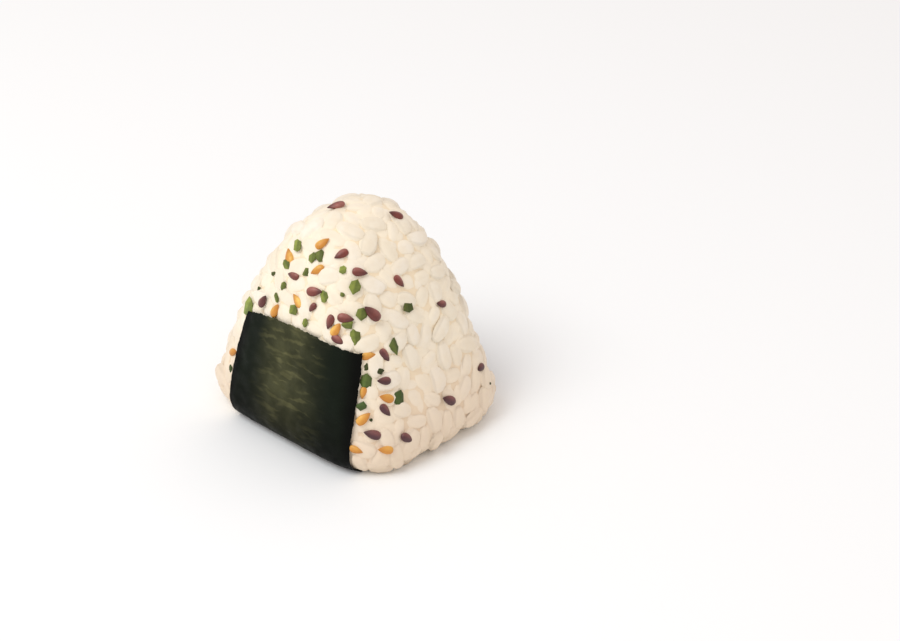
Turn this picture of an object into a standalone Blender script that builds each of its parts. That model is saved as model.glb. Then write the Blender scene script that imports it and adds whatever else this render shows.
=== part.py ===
"""Onigiri: a plump rounded triangle of pressed rice, sprinkled with seeds and green flakes,
with a strip of nori that runs up its front, under its base and up its back.

Millimetres are turned into metres by MM. X is the width of the triangle, -Y its front, +Z up.
The base is flat on z = 0 and the origin is under the middle of the form.
"""

import math

import bmesh
import bpy
import numpy as np
from mathutils import Vector
from mathutils.bvhtree import BVHTree

MM = 0.001

# The rice form: the soft meeting of six planes, each at its reach from an inner centre
SIDE_REACH = 32.0 * MM
SIDE_TILT = math.radians(19.5)
FACE_REACH = 29.4 * MM
FACE_TILT = math.radians(9.0)
TOP_REACH = 50.4 * MM
BOTTOM_REACH = 18.5 * MM
CENTRE_HEIGHT = 16.8 * MM
ROUNDNESS = 4.0

# The grains that show as bumps on it
GRAIN_COUNT = 820
GRAIN_CREST = 2.6 * MM
GRAIN_RISE = 0.6 * MM
GRAIN_DIP = 0.75 * MM
PRESSED_RISE = 0.45 * MM
LAYOUT_SEED = 7
LAYOUT_SHAKE = 0.03
LAYOUT_ROUNDS = 24
PUSH_REACH = 6.0 * MM
PUSH_STEP = 0.8 * MM

# The strip of nori
NORI_LEFT_TOP = -16.4 * MM
NORI_RIGHT_TOP = 23.8 * MM
NORI_LEFT_FOOT = -20.5 * MM
NORI_RIGHT_FOOT = 28.2 * MM
NORI_FLARE = 2.5
NORI_HEIGHT = 35.2 * MM
NORI_ARCH = 3.3 * MM
NORI_BACK_SHIFT = -7.6 * MM
NORI_SHIFT_REACH = 20.0 * MM
NORI_THICKNESS = 0.45 * MM
NORI_STAND = 0.3 * MM
NORI_OFF_FLOOR = 0.2 * MM
NORI_WAVE = 0.12 * MM
NORI_PRESS = 1.2 * MM
NORI_COLUMNS = 14
NORI_ROWS = 44
EDGE_ROUNDS = 5
HALVINGS = 40
GAP = 0.3 * MM
BED_OUT = 3.0 * MM
BED_BELOW = -2.0 * MM

# The sprinkling: seeds and flakes lie thickly on the two broad faces, towards the right of each
SPRINKLE_SEED = 20
SPRINKLE_TRIES = 5200
TRIES_EVEN_AT = 38.0 * MM
SPRINKLE_SPACING = 3.3 * MM
SPRINKLE_LOW = 3.0 * MM
SPRINKLE_HIGH = 59.0 * MM
SPRINKLE_FADE = 8.0 * MM
SPRINKLE_UNDER_NORI = 1.0 * MM
STEEPEST_SLANT = 0.2
FACE_SHARE = 0.1
SPRINKLE_AIM = (0.5, -0.866, 0.0)
SPRINKLE_AIMED = (0.6, 0.8)
THICK_ON_FACES = 0.40
THIN_ELSEWHERE = 0.011
DARK_SHARE = 0.36
GOLD_SHARE = 0.24
DARK_SHARE_ELSEWHERE = 0.8
SEED_SIZE = (4.3 * MM, 2.4 * MM, 1.7 * MM)
FLAKE_SIZE = (3.2 * MM, 2.7 * MM, 0.9 * MM)
SEED_SUNK = 0.45

RICE_COLOUR = (0.90, 0.83, 0.70, 1.0)
NORI_COLOUR = (0.016, 0.021, 0.013, 1.0)


def planes():
    """Outward normals and reaches of the six planes, as seen from the inner centre."""
    side = (math.cos(SIDE_TILT), math.sin(SIDE_TILT))
    face = (math.cos(FACE_TILT), math.sin(FACE_TILT))
    normals = np.array([
        (side[0], 0, side[1]),
        (-side[0], 0, side[1]),
        (0, -face[0], face[1]),
        (0, face[0], face[1]),
        (0, 0, 1),
        (0, 0, -1),
    ])
    reaches = np.array([SIDE_REACH, SIDE_REACH, FACE_REACH, FACE_REACH, TOP_REACH, BOTTOM_REACH])
    return normals, reaches


def form_value(points):
    """Sum over the planes of (distance along the normal / reach) to the power ROUNDNESS: 1 on the form."""
    normals, reaches = planes()
    return (np.maximum(points @ normals.T / reaches, 0) ** ROUNDNESS).sum(axis=-1)


def form_radius(directions):
    """Distance from the inner centre to the form along each unit direction, before the base is cut flat."""
    return form_value(directions) ** (-1 / ROUNDNESS)


def form_normal(points):
    """Gradient of form_value, made a unit vector."""
    normals, reaches = planes()
    steepness = np.maximum(points @ normals.T / reaches, 0) ** (ROUNDNESS - 1) / reaches
    return unit(steepness @ normals)


def unit(vectors):
    return vectors / np.linalg.norm(vectors, axis=-1, keepdims=True)


def on_form(directions, rise=0.0):
    """Points at a height of rise over the form along each direction, cut flat at the base, centre at 0."""
    points = directions * form_radius(directions)[:, None]
    slant = (form_normal(points) * directions).sum(axis=1)
    radius = np.linalg.norm(points, axis=1) + rise / slant
    downward = np.maximum(-directions[:, 2], 1e-6)
    radius = np.minimum(radius, CENTRE_HEIGHT / downward)
    return directions * radius[:, None]


def stand(points):
    """Moves points from the inner centre's frame to the part's frame, where the base is z = 0."""
    return points + np.array((0, 0, CENTRE_HEIGHT))


def spread_grains(rng):
    """Directions of the grains' middles: a golden spiral, shaken, whose points then push each other apart."""
    order = (np.arange(GRAIN_COUNT) + 0.5) / GRAIN_COUNT
    height = 1 - 2 * order
    turn = np.pi * (1 + 5**0.5) * np.arange(GRAIN_COUNT)
    ring = np.sqrt(1 - height**2)
    directions = np.stack([ring * np.cos(turn), ring * np.sin(turn), height], axis=1)
    directions = unit(directions + rng.normal(0, LAYOUT_SHAKE, directions.shape))
    for _ in range(LAYOUT_ROUNDS):
        points = on_form(directions)
        apart = points[:, None] - points[None]
        distance = np.linalg.norm(apart, axis=2) + np.eye(GRAIN_COUNT)
        push = np.maximum(1 - distance / PUSH_REACH, 0) ** 2 / distance
        points = points + PUSH_STEP * (apart * push[:, :, None]).sum(axis=1)
        directions = unit(points)
    return directions


def tangents(normals, spin):
    """Two unit vectors across each normal, the first turned by spin about it."""
    helper = np.where(np.abs(normals[:, 2:]) < 0.8, (0.0, 0.0, 1.0), (1.0, 0.0, 0.0))
    level = unit(np.cross(helper, normals))
    upright = np.cross(normals, level)
    along = level * np.cos(spin)[:, None] + upright * np.sin(spin)[:, None]
    return along, np.cross(normals, along)


def nori_shift(y):
    """How far the strip, laid a little askew, has moved sideways: eased from 0 at the front to all at the back."""
    onward = np.clip(y / NORI_SHIFT_REACH, -1, 1)
    return NORI_BACK_SHIFT * (0.5 + 0.75 * onward - 0.25 * onward**3)


def nori_sides(height, y):
    """Left and right edge of the strip at a height and depth: they draw in towards the top, ever faster."""
    share = np.clip(height / NORI_HEIGHT, 0, 1) ** NORI_FLARE
    left = NORI_LEFT_FOOT + (NORI_LEFT_TOP - NORI_LEFT_FOOT) * share
    right = NORI_RIGHT_FOOT + (NORI_RIGHT_TOP - NORI_RIGHT_FOOT) * share
    return left + nori_shift(y), right + nori_shift(y)


def nori_top(x, y):
    """Height of the strip's top edge: a straight cut on a form that leans back arches up in the middle."""
    middle = (NORI_LEFT_TOP + NORI_RIGHT_TOP) / 2 + nori_shift(y)
    out = np.clip((x - middle) / (NORI_RIGHT_TOP - NORI_LEFT_TOP) * 2, -1, 1)
    return NORI_HEIGHT + NORI_ARCH * (1 - out**2)


def outside_nori(points):
    """Distance outside the strip's outline, negative under the strip."""
    x, y, height = points.T
    left, right = nori_sides(height, y)
    return np.maximum.reduce([left - x, x - right, height - nori_top(x, y)])


def hull_triangles(directions):
    """Triangles that join the points of a sphere, as its convex hull does."""
    mesh = bmesh.new()
    corners = [mesh.verts.new(Vector(direction)) for direction in directions.tolist()]
    mesh.verts.index_update()
    bmesh.ops.convex_hull(mesh, input=corners, use_existing_faces=False)
    bmesh.ops.triangulate(mesh, faces=mesh.faces[:])
    bmesh.ops.recalc_face_normals(mesh, faces=mesh.faces[:])
    mesh.verts.index_update()
    triangles = np.array([[corner.index for corner in face.verts] for face in mesh.faces])
    mesh.free()
    return triangles


def grain_layout():
    """Middle, turn and size of every grain of the surface."""
    rng = np.random.default_rng(LAYOUT_SEED)
    middles = spread_grains(rng)
    spin = rng.uniform(0, math.pi, GRAIN_COUNT)
    size = rng.uniform(0.85, 1.15, GRAIN_COUNT)
    return middles, spin, size


def grain_faces(points, along, meeting):
    """Faces of the hipped grains. Corners count crest starts first, then crest ends, then dips, one for
    each triangle of neighbours in meeting. Each side of a grain runs between two dips to the nearer end
    of its crest, and where the nearer end changes, a face at the dip spans the whole crest."""
    count = len(points)
    left_of = {}
    for index, triangle in enumerate(meeting.tolist()):
        for corner in range(3):
            left_of[triangle[corner], triangle[(corner + 1) % 3]] = index
    dips = points[meeting].mean(axis=1)
    nearer = {}
    faces = []
    for (grain, beside), left in left_of.items():
        right = left_of[beside, grain]
        outward = (dips[left] + dips[right]) / 2 - points[grain]
        crest = grain + count * int(outward @ along[grain] > 0)
        nearer[grain, beside] = crest
        faces.append((crest, 2 * count + right, 2 * count + left))
    for index, triangle in enumerate(meeting.tolist()):
        for corner in range(3):
            grain = triangle[corner]
            before = nearer[grain, triangle[(corner + 1) % 3]]
            after = nearer[grain, triangle[(corner + 2) % 3]]
            if before != after:
                faces.append((before, 2 * count + index, after))
    return faces


def rice_core():
    """Every grain is a hipped bump with a short crest, and dips lie where three grains meet.
    Under the nori the rice is pressed smooth, and the base is flat."""
    middles, spin, size = grain_layout()
    points = on_form(middles)
    along, _ = tangents(form_normal(points), spin)
    half = along * (GRAIN_CREST / 2 * size)[:, None]
    meeting = hull_triangles(middles)
    faces = grain_faces(points, along, meeting)
    directions = unit(np.concatenate([points - half, points + half, points[meeting].mean(axis=1)]))
    rise = np.concatenate([np.tile(GRAIN_RISE * size, 2), np.full(len(meeting), -GRAIN_DIP)])
    pressed = np.clip(1 - outside_nori(stand(on_form(directions))) / NORI_PRESS, 0, 1)
    rise = rise * (1 - pressed) + PRESSED_RISE * pressed
    return stand(on_form(directions, rise)), faces


def sprinkle_places(rng):
    """Throws darts at the form. One stays where the rule of thickness lets it and no other is near.
    Darts aimed evenly by direction fall thinly where the form is far or slanting, so area evens them out."""
    throws = unit(rng.normal(size=(SPRINKLE_TRIES, 3)))
    luck = rng.uniform(size=SPRINKLE_TRIES)
    points = on_form(throws)
    normals = form_normal(points)
    heights = points[:, 2] + CENTRE_HEIGHT
    least, full = SPRINKLE_AIMED
    broad = np.clip((np.abs(normals @ SPRINKLE_AIM) - least) / (full - least), 0, 1)
    band = np.clip((SPRINKLE_HIGH - heights) / SPRINKLE_FADE, 0, 1)
    thickness = THIN_ELSEWHERE + THICK_ON_FACES * broad * band
    area = form_radius(throws) ** 2 / np.maximum((normals * throws).sum(axis=1), STEEPEST_SLANT)
    thickness = thickness * area / TRIES_EVEN_AT**2
    wanted = (luck < thickness) & (heights > SPRINKLE_LOW)
    wanted &= outside_nori(stand(points)) > -SPRINKLE_UNDER_NORI
    kept = []
    for index in np.flatnonzero(wanted):
        apart = np.linalg.norm(points[kept] - points[index], axis=1)
        if (apart > SPRINKLE_SPACING).all():
            kept.append(index)
    return throws[kept], broad[kept] * band[kept] > FACE_SHARE


def sprinkle():
    """Place, turn, size and kind of every seed and flake, in one seeded order of draws.
    Kinds are 0 for a dark seed, 1 for a golden one and 2 for a flake."""
    rng = np.random.default_rng(SPRINKLE_SEED)
    directions, on_face = sprinkle_places(rng)
    count = len(directions)
    spin = rng.uniform(0, 2 * math.pi, count)
    size = rng.uniform(0.85, 1.15, count)
    luck = rng.uniform(size=count)
    dark = luck < np.where(on_face, DARK_SHARE, DARK_SHARE_ELSEWHERE)
    gold = on_face & ~dark & (luck < DARK_SHARE + GOLD_SHARE)
    return directions, spin, size, np.where(dark, 0, np.where(gold, 1, 2))


def teardrop():
    """Unit seed along X: two rings of six points between a blunt end and a pointed one."""
    corners = [(-0.5, 0.0, 0.0)]
    for place, width in ((-0.24, 0.46), (0.14, 0.42)):
        for step in range(6):
            turn = step * math.pi / 3
            corners.append((place, width * math.cos(turn), width * math.sin(turn)))
    corners.append((0.5, 0.0, 0.0))
    faces = []
    for step in range(6):
        beside = (step + 1) % 6
        faces.append((0, 1 + beside, 1 + step))
        faces.append((1 + step, 1 + beside, 7 + beside, 7 + step))
        faces.append((7 + step, 7 + beside, 13))
    return np.array(corners), faces


def flake():
    """Unit flake: a flat chip with five uneven corners."""
    reach = (0.5, 0.44, 0.52, 0.38, 0.5)
    turn = np.radians((5, 70, 150, 215, 300))
    outline = np.stack([reach * np.cos(turn), reach * np.sin(turn)], axis=1)
    lower = np.column_stack([outline, np.full(5, -0.5)])
    upper = np.column_stack([outline * 0.88, np.full(5, 0.5)])
    faces = [(4, 3, 2, 1, 0), (5, 6, 7, 8, 9)]
    faces += [(step, (step + 1) % 5, 5 + (step + 1) % 5, 5 + step) for step in range(5)]
    return np.concatenate([lower, upper]), faces


def sprinkle_shapes(core_points, core_faces):
    """Each seed or flake as points and faces, laid on the highest rice under it and sunk in by SEED_SUNK."""
    tree = BVHTree.FromPolygons(core_points.tolist(), core_faces)
    centre = np.array((0, 0, CENTRE_HEIGHT))
    directions, spin, size, kind = sprinkle()
    points = on_form(directions)
    normals = form_normal(points)
    along, across = tangents(normals, spin)
    shapes = []
    for index in range(len(directions)):
        unit_points, faces = flake() if kind[index] == 2 else teardrop()
        scale = np.array(FLAKE_SIZE if kind[index] == 2 else SEED_SIZE) * size[index]
        probes = [points[index]]
        probes += [points[index] + along[index] * scale[0] * share for share in (-0.25, 0.25)]
        height = []
        for probe in probes:
            aim = unit(probe)
            hit = tree.ray_cast(Vector(centre + aim * 0.1), Vector(-aim))[0]
            height.append((np.array(hit) - centre - points[index]) @ normals[index])
        middle = points[index] + normals[index] * (max(height) + scale[2] * (0.5 - SEED_SUNK))
        axes = np.stack([along[index], across[index], normals[index]])
        shapes.append((stand(unit_points * scale @ axes + middle), faces))
    return shapes


def new_mesh_object(name, points, faces, collection=None):
    mesh = bpy.data.meshes.new(name)
    mesh.from_pydata([tuple(point) for point in points.tolist()], [], [list(face) for face in faces])
    mesh.update()
    item = bpy.data.objects.new(name, mesh)
    (collection or bpy.context.scene.collection).objects.link(item)
    return item


def boolean(item, operation, cutter=None, collection=None):
    """Adds and applies one Boolean with an object or with a whole collection."""
    modifier = item.modifiers.new(operation.title(), "BOOLEAN")
    modifier.operation = operation
    modifier.solver = "EXACT"
    if collection:
        modifier.operand_type = "COLLECTION"
        modifier.collection = collection
    else:
        modifier.object = cutter
    bpy.context.view_layer.update()
    evaluated = item.evaluated_get(bpy.context.evaluated_depsgraph_get())
    result = bpy.data.meshes.new_from_object(evaluated)
    item.modifiers.clear()
    item.data = result


def keep_largest_shell(item):
    """Drops loose scraps: only the connected shell with the most faces stays."""
    mesh = bmesh.new()
    mesh.from_mesh(item.data)
    bmesh.ops.triangulate(mesh, faces=mesh.faces[:])
    shells = []
    seen = set()
    for start in mesh.faces:
        if start in seen:
            continue
        shell = {start}
        front = [start]
        while front:
            face = front.pop()
            for edge in face.edges:
                fresh = [beside for beside in edge.link_faces if beside not in shell]
                shell.update(fresh)
                front.extend(fresh)
        seen |= shell
        shells.append(shell)
    largest = max(shells, key=len)
    scraps = [face for face in mesh.faces if face not in largest]
    bmesh.ops.delete(mesh, geom=scraps, context="FACES")
    mesh.to_mesh(item.data)
    mesh.free()


def face_depth(x, z):
    """Distance from the middle plane to the form's front at x and z, by halving the range."""
    low = np.zeros_like(x)
    high = np.full_like(x, 80 * MM)
    for _ in range(HALVINGS):
        middle = (low + high) / 2
        inside = form_value(np.stack([x, -middle, z], axis=-1)) < 1
        low = np.where(inside, middle, low)
        high = np.where(inside, high, middle)
    return low


def slice_radius(x, turn):
    """Distance from the X axis through the centre to the form, in the slice at x, by halving."""
    low = np.zeros_like(x)
    high = np.full_like(x, 90 * MM)
    for _ in range(HALVINGS):
        middle = (low + high) / 2
        points = np.stack([x, -middle * np.cos(turn), -middle * np.sin(turn)], axis=-1)
        inside = form_value(points) < 1
        low = np.where(inside, middle, low)
        high = np.where(inside, high, middle)
    return low


def strip_face(rise, floor, widen=0.0):
    """One face of the strip: grid rows run round the form from the front's top edge, under the base,
    to the back's top edge, at rise over the form and cut flat at height floor over the base."""
    rows = np.linspace(0, 1, NORI_ROWS + 1)[:, None]
    columns = np.linspace(0, 1, NORI_COLUMNS + 1)[None]
    ends = []
    for y in (-NORI_SHIFT_REACH, NORI_SHIFT_REACH):
        left, right = nori_sides(NORI_HEIGHT, y)
        x = left - widen + (right - left + 2 * widen) * columns
        top = nori_top(x, y) + widen - CENTRE_HEIGHT
        ends.append(np.arctan2(-top, face_depth(x, top)))
    turn = ends[0] + (math.pi - ends[1] - ends[0]) * rows
    x = np.broadcast_to(x, turn.shape)
    for _ in range(EDGE_ROUNDS):
        radius = slice_radius(x, turn)
        height = np.maximum(CENTRE_HEIGHT - radius * np.sin(turn), 0)
        left, right = nori_sides(height, -radius * np.cos(turn))
        x = left - widen + (right - left + 2 * widen) * columns
    radius = slice_radius(x, turn)
    points = np.stack([x, -radius * np.cos(turn), -radius * np.sin(turn)], axis=-1)
    wave = NORI_WAVE * np.sin(x / (3.1 * MM)) * np.sin(turn * 9 + x / (7 * MM))
    points = points + form_normal(points) * (rise + wave)[..., None]
    lowest = floor - CENTRE_HEIGHT
    pull = np.where(points[..., 2] < lowest, lowest / np.minimum(points[..., 2], lowest), 1.0)
    points[..., 1] *= pull
    points[..., 2] = np.maximum(points[..., 2], lowest)
    return stand(points)


def strip_solid(name, outer, inner):
    """Closes two like grids into one thin solid, both faces split into triangles alike."""
    rows, columns = outer.shape[:2]
    count = rows * columns
    index = np.arange(count).reshape(rows, columns)
    a, b = index[:-1, :-1].ravel(), index[:-1, 1:].ravel()
    c, d = index[1:, 1:].ravel(), index[1:, :-1].ravel()
    upper = np.concatenate([np.stack([a, b, c], 1), np.stack([a, c, d], 1)])
    lower = upper[:, ::-1] + count
    rim = np.concatenate([index[0, :-1], index[:-1, -1], index[-1, :0:-1], index[:0:-1, 0]])
    onward = np.roll(rim, -1)
    edge = np.concatenate([
        np.stack([onward, rim, rim + count], 1),
        np.stack([onward, rim + count, onward + count], 1),
    ])
    points = np.concatenate([outer.reshape(-1, 3), inner.reshape(-1, 3)])
    item = new_mesh_object(name, points, np.concatenate([upper, lower, edge]).tolist())
    mesh = bmesh.new()
    mesh.from_mesh(item.data)
    bmesh.ops.recalc_face_normals(mesh, faces=mesh.faces[:])
    mesh.to_mesh(item.data)
    mesh.free()
    return item


def give_material(item, colour, roughness):
    material = bpy.data.materials.new(item.name)
    material.use_nodes = True
    shader = material.node_tree.nodes["Principled BSDF"]
    shader.inputs["Base Color"].default_value = colour
    shader.inputs["Roughness"].default_value = roughness
    shader.inputs["Metallic"].default_value = 0.0
    item.data.materials.clear()
    item.data.materials.append(material)


def make_rice():
    """The core with every seed and flake fused on, and a shallow bed cut for the nori."""
    core_points, core_faces = rice_core()
    rice = new_mesh_object("rice", core_points, core_faces)
    pile = bpy.data.collections.new("sprinkle")
    bpy.context.scene.collection.children.link(pile)
    for index, (points, faces) in enumerate(sprinkle_shapes(core_points, core_faces)):
        new_mesh_object(f"sprinkle_{index}", points, faces, pile)
    boolean(rice, "UNION", collection=pile)
    for item in list(pile.objects):
        bpy.data.objects.remove(item)
    bpy.data.collections.remove(pile)
    bed_outer = strip_face(BED_OUT, BED_BELOW, GAP)
    bed_inner = strip_face(NORI_STAND - GAP, NORI_OFF_FLOOR + NORI_THICKNESS + GAP, GAP)
    bed = strip_solid("nori_bed", bed_outer, bed_inner)
    boolean(rice, "DIFFERENCE", cutter=bed)
    bpy.data.objects.remove(bed)
    keep_largest_shell(rice)
    give_material(rice, RICE_COLOUR, 0.45)
    rice.data.shade_smooth()
    rice.data.set_sharp_from_angle(angle=math.radians(50))


def make_nori():
    """The strip itself, a thin wavy sheet."""
    outer = strip_face(NORI_STAND + NORI_THICKNESS, NORI_OFF_FLOOR)
    inner = strip_face(NORI_STAND, NORI_OFF_FLOOR + NORI_THICKNESS)
    nori = strip_solid("nori", outer, inner)
    give_material(nori, NORI_COLOUR, 0.5)
    nori.data.shade_smooth()
    nori.data.set_sharp_from_angle(angle=math.radians(50))


def main():
    for item in list(bpy.data.objects):
        bpy.data.objects.remove(item)
    make_rice()
    make_nori()


main()
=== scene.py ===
"""The looks of one onigiri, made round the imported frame: plump grains of rice over a soft core,
a strip of nori round them, and dark seeds, golden seeds and green flakes on top.

Everything is in metres, in the frame's own axes. X is the width of the rounded triangle, -Y its
front and +Z up, with the flat base on z = 0. MM turns millimetres into metres."""

import math

import bpy
import numpy as np
from mathutils import Matrix, Vector
from mathutils.bvhtree import BVHTree


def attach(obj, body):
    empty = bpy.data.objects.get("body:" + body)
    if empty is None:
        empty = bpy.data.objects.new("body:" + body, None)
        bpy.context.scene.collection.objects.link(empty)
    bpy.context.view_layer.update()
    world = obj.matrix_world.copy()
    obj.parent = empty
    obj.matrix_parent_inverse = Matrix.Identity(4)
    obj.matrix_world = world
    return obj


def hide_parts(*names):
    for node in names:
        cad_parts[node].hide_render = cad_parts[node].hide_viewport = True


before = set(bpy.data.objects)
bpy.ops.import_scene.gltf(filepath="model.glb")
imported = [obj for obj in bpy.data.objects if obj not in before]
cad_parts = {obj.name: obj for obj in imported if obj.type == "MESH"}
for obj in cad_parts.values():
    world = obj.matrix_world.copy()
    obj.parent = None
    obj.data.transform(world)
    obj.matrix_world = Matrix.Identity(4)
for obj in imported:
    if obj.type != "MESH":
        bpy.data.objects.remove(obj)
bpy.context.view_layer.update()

MM = 0.001

# The rice form, as in the solids: the soft meeting of six planes, each at its reach from a centre
SIDE_REACH = 32.0 * MM
SIDE_TILT = math.radians(19.5)
FACE_REACH = 29.4 * MM
FACE_TILT = math.radians(9.0)
TOP_REACH = 50.4 * MM
BOTTOM_REACH = 18.5 * MM
CENTRE_HEIGHT = 16.8 * MM
ROUNDNESS = 4.0
CENTRE = np.array((0.0, 0.0, CENTRE_HEIGHT))

# The shoulder over the strip's left corner is pressed a little flatter than in the solids
DENT_PLACE = np.array((-17.5, -14.5, 51.5)) * MM
DENT_DEPTH = 1.1 * MM
DENT_SPREAD = 11.0 * MM

# Grains of the outer layer are thrown evenly over the form, then settle against each other
GRAIN_TRIES = 12000
GRAIN_SPACING = 4.3 * MM
LAYOUT_SEED = 7
LAYOUT_ROUNDS = 60
PUSH_REACH = 8.0 * MM
PUSH_STEP = 0.8 * MM
GRAIN_LENGTH = (6.8 * MM, 9.2 * MM)
GRAIN_WIDTH = (4.8 * MM, 6.2 * MM)
GRAIN_THICKNESS = 0.74
GRAIN_CREST = (-0.3 * MM, 0.25 * MM)
HIGH_CREST = (0.4 * MM, 1.0 * MM)
HIGH_SPACING = 6.2 * MM
GRAIN_TILT = math.radians(8)
GRAIN_BEND = 0.16
GRAIN_LEAN = 0.14
GRAIN_ROUNDNESS = 0.42
GRAIN_RINGS = 6
GRAIN_SIDES = 8
SETTLE_ROUNDS = 60
SETTLE_STEP = 0.16
SETTLE_TURN = 0.5
BEAD_TIGHTNESS = 0.88
NEIGHBOURS = 14
SOFTNESS = 0.66
TUCKED_UNDER_NORI = 2.5 * MM

# A second layer fills the gaps, and the core closes what is left
UNDER_SPACING = 3.6 * MM
UNDER_SEED = 23
UNDER_CREST = (-0.55 * MM, -0.1 * MM)
UNDER_TUCKED = 1.0 * MM
CORE_RISE = -0.95 * MM
CORE_RINGS = 90
CORE_SIDES = 128

# The strip of nori
NORI_LEFT_TOP = -16.4 * MM
NORI_RIGHT_TOP = 23.8 * MM
NORI_LEFT_FOOT = -20.5 * MM
NORI_RIGHT_FOOT = 27.0 * MM
NORI_FLARE = 2.5
NORI_HEIGHT = 35.2 * MM
NORI_ARCH = 3.3 * MM
NORI_BACK_SHIFT = -7.6 * MM
NORI_SHIFT_REACH = 20.0 * MM
NORI_OUTER_RISE = 0.65 * MM
NORI_THICKNESS = 0.25 * MM
NORI_OFF_FLOOR = 0.2 * MM
NORI_COLUMNS = 110
NORI_ROWS = 250
NORI_RIM_SHARP = math.radians(50)
NORI_ROUND = 125.0 * MM
EDGE_ROUNDS = 5
HALVINGS = 32
SLICE_FAR = 90.0 * MM
FACE_FAR = 80.0 * MM
NORI_SEED = 5
NORI_RAGGED_TOP = 0.3 * MM
NORI_RAGGED_SIDE = 0.13 * MM
NORI_LUMP = 0.16 * MM
LUMP_SPREAD = 2.0 * MM
LUMP_MEAN = 0.6
LUMPS_FROM = 3.0 * MM
PRESS_MARGIN = 1.6 * MM
PRESS_RISE = 0.15 * MM
FREE_RISE = 2.2 * MM

# The streaks on the strip take it as this many millimetres wide, all the way along
STREAKS_SPAN = 40.0

# Seeds and flakes
SEED_LENGTH = 4.8 * MM
SEED_WIDTH = 2.65 * MM
SEED_THICKNESS = 1.6 * MM
SEED_MIDDLE = 0.45
SEED_BLUNTNESS = 0.42
SEED_TAPER = 0.85
SEED_RINGS = 9
SEED_SIDES = 12
SEED_SUNK = 0.36
LEAST_FACING = 0.35
LIE_CLOSELY = 0.3
PROBE_SHARE = 0.7
PROBE_HEIGHT = 8.0 * MM
# Seed colours: painted highlight along the upper side, body, deep at the point, and body low down on
# the rice
DARK_SEED_COLOURS = ((172, 110, 100), (126, 58, 48), (64, 30, 30), (82, 47, 54))
GOLDEN_SEED_COLOURS = ((255, 212, 112), (217, 150, 56), (190, 122, 44), (216, 147, 56))
FLAKE_THICKNESS = 0.55 * MM
FLAKE_CORNERS = 6
FLAKE_SUNK = 0.1
FLAKE_FOLD = (-0.3, 0.4)
FLAKE_CORNER_TURN = 0.35
FLAKE_CORNER_REACH = (0.9, 1.2)
FLAKE_FOLD_SHARP = math.radians(18)

# Flakes out of the photo's sight: length in millimetres, width to length, and paleness
LOOSE_FLAKE_LENGTH = (2.4, 4.2)
LOOSE_FLAKE_SLIMNESS = (0.6, 0.95)
LOOSE_FLAKE_PALENESS = (0.2, 0.8)
SMALL_FLAKES = 0.2
SMALL_FLAKE_SIZE = 0.5
SMALL_FLAKE_PALENESS = 0.05

# The camera of the photo, 900 pixels wide and 641 high
PHOTO_WIDTH = 900
PHOTO_HEIGHT = 641
SENSOR_WIDTH = 36.0
CAMERA_LENS = 88.2
CAMERA_TURN = math.radians(43.3)
CAMERA_RISE = math.radians(30.06)
CAMERA_DISTANCE = 649.1 * MM
AIM_RIGHT = 27.65 * MM
AIM_UP = 24.23 * MM

# What the photo shows of the sprinkling: pixel across, pixel down, where the point of the seed aims,
# in degrees from the right, turning up, and the seed's size
DARK_SEEDS_SEEN = (
    (337, 206, 195, 1.1), (396, 215, 160, 0.95), (342, 255, 210, 0.92), (294, 277, 160, 0.88),
    (359, 272, 352, 0.95), (399, 282, 310, 0.88), (314, 292, 0, 1.05), (263, 301, 55, 0.95),
    (313, 309, 225, 0.72), (440, 305, 175, 0.8), (372, 313, 140, 1.2), (345, 318, 350, 1.0),
    (331, 322, 250, 0.92), (338, 340, 325, 0.88), (385, 355, 305, 0.92), (479, 367, 220, 0.84),
    (384, 381, 180, 0.88), (385, 409, 310, 0.9), (449, 400, 160, 1.05), (373, 434, 165, 1.05),
    (406, 437, 330, 0.98),
)
GOLDEN_SEEDS_SEEN = (
    (322, 244, 35, 0.95), (289, 259, 100, 1.1), (318, 271, 205, 0.92), (298, 301, 120, 0.95),
    (276, 312, 60, 1.0), (336, 330, 55, 0.95), (368, 356, 10, 0.88), (363, 392, 260, 0.74),
    (387, 398, 165, 0.95), (363, 419, 40, 1.02), (386, 450, 175, 0.95), (356, 450, 340, 0.85),
    (234, 352, 10, 0.85),
)
# Flakes as seen: pixel across, pixel down, turn in degrees, length and width in millimetres, and
# paleness from 0 for the deepest green to 1
FLAKES_SEEN = (
    (298, 246, 80, 3.4, 2.9, 0.75), (320, 257, 80, 3.7, 2.8, 0.35), (313, 259, 85, 3.5, 2.1, 0.5),
    (287, 265, 120, 3.8, 2.6, 0.45), (343, 271, 20, 2.5, 2.3, 0.8), (306, 274, 60, 2.8, 2.4, 0.35),
    (274, 274, 30, 2.0, 1.6, 0.15), (354, 287, 75, 4.4, 3.4, 0.6), (284, 287, 70, 2.6, 2.0, 0.45),
    (325, 298, 100, 3.4, 2.6, 0.6), (277, 299, 105, 3.1, 1.6, 0.45), (343, 295, 80, 2.0, 1.4, 0.4),
    (258, 290, 85, 1.9, 1.5, 0.1), (294, 311, 60, 3.3, 3.0, 0.6), (249, 308, 60, 6.0, 5.2, 0.8),
    (306, 323, 70, 2.8, 2.0, 0.65), (361, 314, 80, 4.1, 3.2, 0.45), (348, 324, 10, 3.4, 2.8, 0.5),
    (406, 309, 95, 3.3, 3.4, 0.15), (355, 337, 95, 4.8, 3.3, 0.5), (394, 346, 108, 5.2, 2.6, 0.25),
    (366, 381, 75, 4.2, 3.6, 0.4), (399, 397, 90, 4.4, 4.0, 0.2), (362, 406, 20, 3.2, 2.8, 0.25),
    (367, 367, 70, 2.2, 2.5, 0.05), (380, 371, 60, 2.1, 2.4, 0.0), (231, 368, 90, 2.2, 1.7, 0.15),
    (371, 419, 0, 1.0, 0.9, 0.0), (490, 384, 0, 0.9, 0.8, 0.0),
)

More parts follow.
